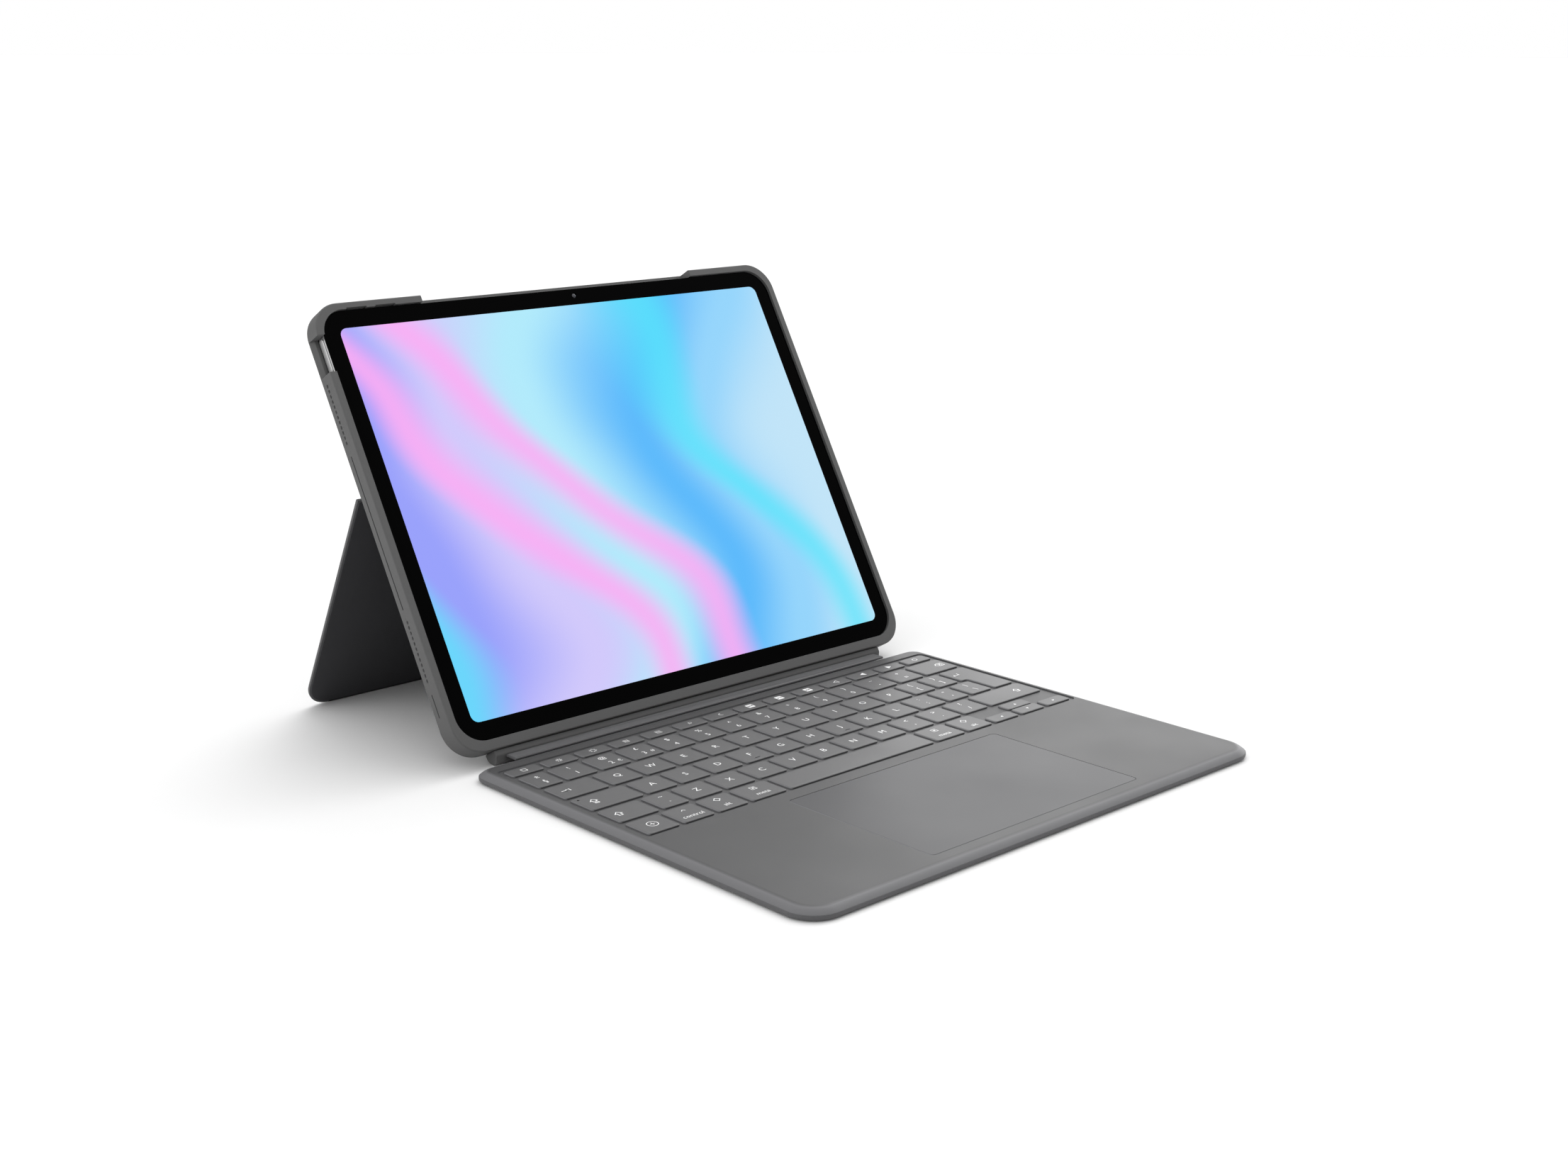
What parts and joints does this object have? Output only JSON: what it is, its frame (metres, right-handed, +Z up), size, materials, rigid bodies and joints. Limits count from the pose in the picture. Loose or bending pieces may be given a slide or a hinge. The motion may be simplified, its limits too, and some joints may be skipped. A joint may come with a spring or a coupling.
{
  "type": "tablet keyboard case",
  "caption": "Soft grey tablet case with a fold-out kickstand and a detachable keyboard with trackpad, holding a thin slate tablet upright on a desk.",
  "frame": {"origin": "on the table, below the middle of the open case's bounding box", "axes": "+X to the right along the hinge line, +Y from the keyboard's front edge back to the kickstand's foot, +Z up from the table"},
  "size_m": [0.2884, 0.3666, 0.2024],
  "materials": {
    "shell": "soft-touch matt elastomer",
    "skin": "fine moulded textile, matt",
    "dark_panel": "smooth dark panel, satin",
    "keycap": "fine matt keycap",
    "trackpad_surface": "smooth satin",
    "foot_rubber": "matt rubber",
    "steel": "satin",
    "magnet": "plated",
    "gold_contact": "plated",
    "circuit_board": "solder mask",
    "flex_circuit": "film",
    "dome_rubber": "moulded silicone",
    "white_plastic": "moulded",
    "lining": "microfibre",
    "aluminium": "bead blasted",
    "screen_glass": "polished cover glass",
    "display": "lit display",
    "battery": "foil pouch",
    "lens": "coated lens",
    "light": "light guide"
  },
  "bodies": {
    "keyboard": {"keyboard_bottom_cover": "skin", "keyboard_top_deck": "shell", "key_frame": "shell", "key_support_plate": "steel", "switch_membrane": "flex_circuit", "backlight_guide": "white_plastic", "rubber_domes": "dome_rubber", "scissor_frames": "white_plastic", "keyboard_circuit_board": "circuit_board", "trackpad_click_switch": "gold_contact", "closing_magnets": "magnet"},
    "trackpad": {"trackpad_plate": "trackpad_surface", "trackpad_circuit_board": "circuit_board"},
    "function_keys": {"function_keys": "keycap"},
    "number_keys": {"number_keys": "keycap"},
    "upper_letter_keys": {"upper_letter_keys": "keycap"},
    "home_letter_keys": {"home_letter_keys": "keycap"},
    "lower_letter_keys": {"lower_letter_keys": "keycap"},
    "modifier_keys": {"modifier_keys": "keycap"},
    "tab_key": {"tab_key": "keycap"},
    "caps_lock_key": {"caps_lock_key": "keycap", "caps_lock_light": "light"},
    "left_shift_key": {"left_shift_key": "keycap"},
    "right_shift_key": {"right_shift_key": "keycap"},
    "return_key": {"return_key": "keycap"},
    "backspace_key": {"backspace_key": "keycap"},
    "space_bar": {"space_bar": "keycap"},
    "left_arrow_key": {"left_arrow_key": "keycap"},
    "right_arrow_key": {"right_arrow_key": "keycap"},
    "up_arrow_key": {"up_arrow_key": "keycap"},
    "down_arrow_key": {"down_arrow_key": "keycap"},
    "spine_flap": {"hinge_flap": "skin"},
    "connector_bar": {"connector_bar": "shell", "bar_magnets": "magnet", "pogo_block": "dark_panel"},
    "pogo_pins": {"pogo_pins": "gold_contact"},
    "case": {"case_back_shell": "dark_panel", "bumper_frame": "shell", "back_fabric": "skin", "microfibre_lining": "lining", "camera_ring": "shell", "case_contacts": "gold_contact", "contact_flex": "flex_circuit", "case_magnets": "magnet", "hinge_leaves": "steel"},
    "volume_cover": {"volume_cover": "shell"},
    "kickstand": {"kickstand_panel": "dark_panel", "kickstand_fabric": "skin", "kickstand_foot": "foot_rubber", "hinge_pins": "steel"},
    "tablet": {"tablet_housing": "aluminium", "tablet_glass": "screen_glass", "display_panel": "display", "tablet_battery": "battery", "tablet_logic_board": "circuit_board", "front_camera": "lens", "rear_camera": "lens"},
    "power_button": {"power_button": "aluminium"},
    "volume_buttons": {"volume_buttons": "aluminium"}
  },
  "joints": [
    {"name": "function_keys_press", "type": "slide", "parent": "keyboard", "child": "function_keys", "axis": [0, 0, -1], "range_m": [0, 0.001], "stiffness_N_per_m": 340, "springref_m": -0.004},
    {"name": "number_keys_press", "type": "slide", "parent": "keyboard", "child": "number_keys", "axis": [0, 0, -1], "range_m": [0, 0.001], "stiffness_N_per_m": 320, "springref_m": -0.004},
    {"name": "upper_letter_keys_press", "type": "slide", "parent": "keyboard", "child": "upper_letter_keys", "axis": [0, 0, -1], "range_m": [0, 0.001], "stiffness_N_per_m": 300, "springref_m": -0.004},
    {"name": "home_letter_keys_press", "type": "slide", "parent": "keyboard", "child": "home_letter_keys", "axis": [0, 0, -1], "range_m": [0, 0.001], "stiffness_N_per_m": 300, "springref_m": -0.004},
    {"name": "lower_letter_keys_press", "type": "slide", "parent": "keyboard", "child": "lower_letter_keys", "axis": [0, 0, -1], "range_m": [0, 0.001], "stiffness_N_per_m": 280, "springref_m": -0.004},
    {"name": "modifier_keys_press", "type": "slide", "parent": "keyboard", "child": "modifier_keys", "axis": [0, 0, -1], "range_m": [0, 0.001], "stiffness_N_per_m": 180, "springref_m": -0.004},
    {"name": "tab_key_press", "type": "slide", "parent": "keyboard", "child": "tab_key", "axis": [0, 0, -1], "range_m": [0, 0.001], "stiffness_N_per_m": 80, "springref_m": -0.004},
    {"name": "caps_lock_key_press", "type": "slide", "parent": "keyboard", "child": "caps_lock_key", "axis": [0, 0, -1], "range_m": [0, 0.001], "stiffness_N_per_m": 80, "springref_m": -0.004},
    {"name": "left_shift_key_press", "type": "slide", "parent": "keyboard", "child": "left_shift_key", "axis": [0, 0, -1], "range_m": [0, 0.001], "stiffness_N_per_m": 80, "springref_m": -0.004},
    {"name": "right_shift_key_press", "type": "slide", "parent": "keyboard", "child": "right_shift_key", "axis": [0, 0, -1], "range_m": [0, 0.001], "stiffness_N_per_m": 80, "springref_m": -0.004},
    {"name": "return_key_press", "type": "slide", "parent": "keyboard", "child": "return_key", "axis": [0, 0, -1], "range_m": [0, 0.001], "stiffness_N_per_m": 80, "springref_m": -0.004},
    {"name": "backspace_key_press", "type": "slide", "parent": "keyboard", "child": "backspace_key", "axis": [0, 0, -1], "range_m": [0, 0.001], "stiffness_N_per_m": 80, "springref_m": -0.004},
    {"name": "space_bar_press", "type": "slide", "parent": "keyboard", "child": "space_bar", "axis": [0, 0, -1], "range_m": [0, 0.001], "stiffness_N_per_m": 80, "springref_m": -0.004},
    {"name": "left_arrow_key_press", "type": "slide", "parent": "keyboard", "child": "left_arrow_key", "axis": [0, 0, -1], "range_m": [0, 0.001], "stiffness_N_per_m": 80, "springref_m": -0.004},
    {"name": "right_arrow_key_press", "type": "slide", "parent": "keyboard", "child": "right_arrow_key", "axis": [0, 0, -1], "range_m": [0, 0.001], "stiffness_N_per_m": 80, "springref_m": -0.004},
    {"name": "up_arrow_key_press", "type": "slide", "parent": "keyboard", "child": "up_arrow_key", "axis": [0, 0, -1], "range_m": [0, 0.001], "stiffness_N_per_m": 80, "springref_m": -0.004},
    {"name": "down_arrow_key_press", "type": "slide", "parent": "keyboard", "child": "down_arrow_key", "axis": [0, 0, -1], "range_m": [0, 0.001], "stiffness_N_per_m": 80, "springref_m": -0.004},
    {"name": "trackpad_click", "type": "slide", "parent": "keyboard", "child": "trackpad", "axis": [0, 0, -1], "range_m": [0, 0.0003], "stiffness_N_per_m": 400, "springref_m": -0.003},
    {"name": "keyboard_fold", "type": "hinge", "parent": "keyboard", "child": "spine_flap", "pos_m": [0, 0.03756, 0.0045], "axis": [-1, 0, 0], "range_deg": [-40, 0]},
    {"name": "bar_fold", "type": "hinge", "parent": "spine_flap", "child": "connector_bar", "pos_m": [0, 0.04356, 0.0045], "axis": [-1, 0, 0], "range_deg": [-80, 20]},
    {"name": "pogo_press", "type": "slide", "parent": "connector_bar", "child": "pogo_pins", "axis": [0, -0.5, -0.866], "range_m": [0, 0.0005], "stiffness_N_per_m": 60, "springref_m": -0.001},
    {"name": "case_detach", "type": "slide", "parent": "connector_bar", "child": "case", "axis": [0, 0.5, 0.866], "range_m": [0, 0.04]},
    {"name": "volume_cover_press", "type": "slide", "parent": "case", "child": "volume_cover", "axis": [0, -0.5, -0.866], "range_m": [0, 0.0003], "stiffness_N_per_m": 200, "springref_m": -0.002},
    {"name": "kickstand_swing", "type": "hinge", "parent": "case", "child": "kickstand", "pos_m": [0, 0.12209, 0.11758], "axis": [1, 0, 0], "range_deg": [-57.34, 83]},
    {"name": "tablet_lift", "type": "slide", "parent": "case", "child": "tablet", "axis": [0, -0.866, 0.5], "range_m": [0, 0.04]},
    {"name": "power_button_press", "type": "slide", "parent": "tablet", "child": "power_button", "axis": [1, 0, 0], "range_m": [0, 0.0003], "stiffness_N_per_m": 200, "springref_m": -0.002},
    {"name": "volume_button_press", "type": "slide", "parent": "tablet", "child": "volume_buttons", "axis": [0, -0.5, -0.866], "range_m": [0, 0.0003], "stiffness_N_per_m": 200, "springref_m": -0.002}
  ],
  "couplings": [
    {"joint": "volume_button_press", "follows": "volume_cover_press", "ratio": 1}
  ]
}
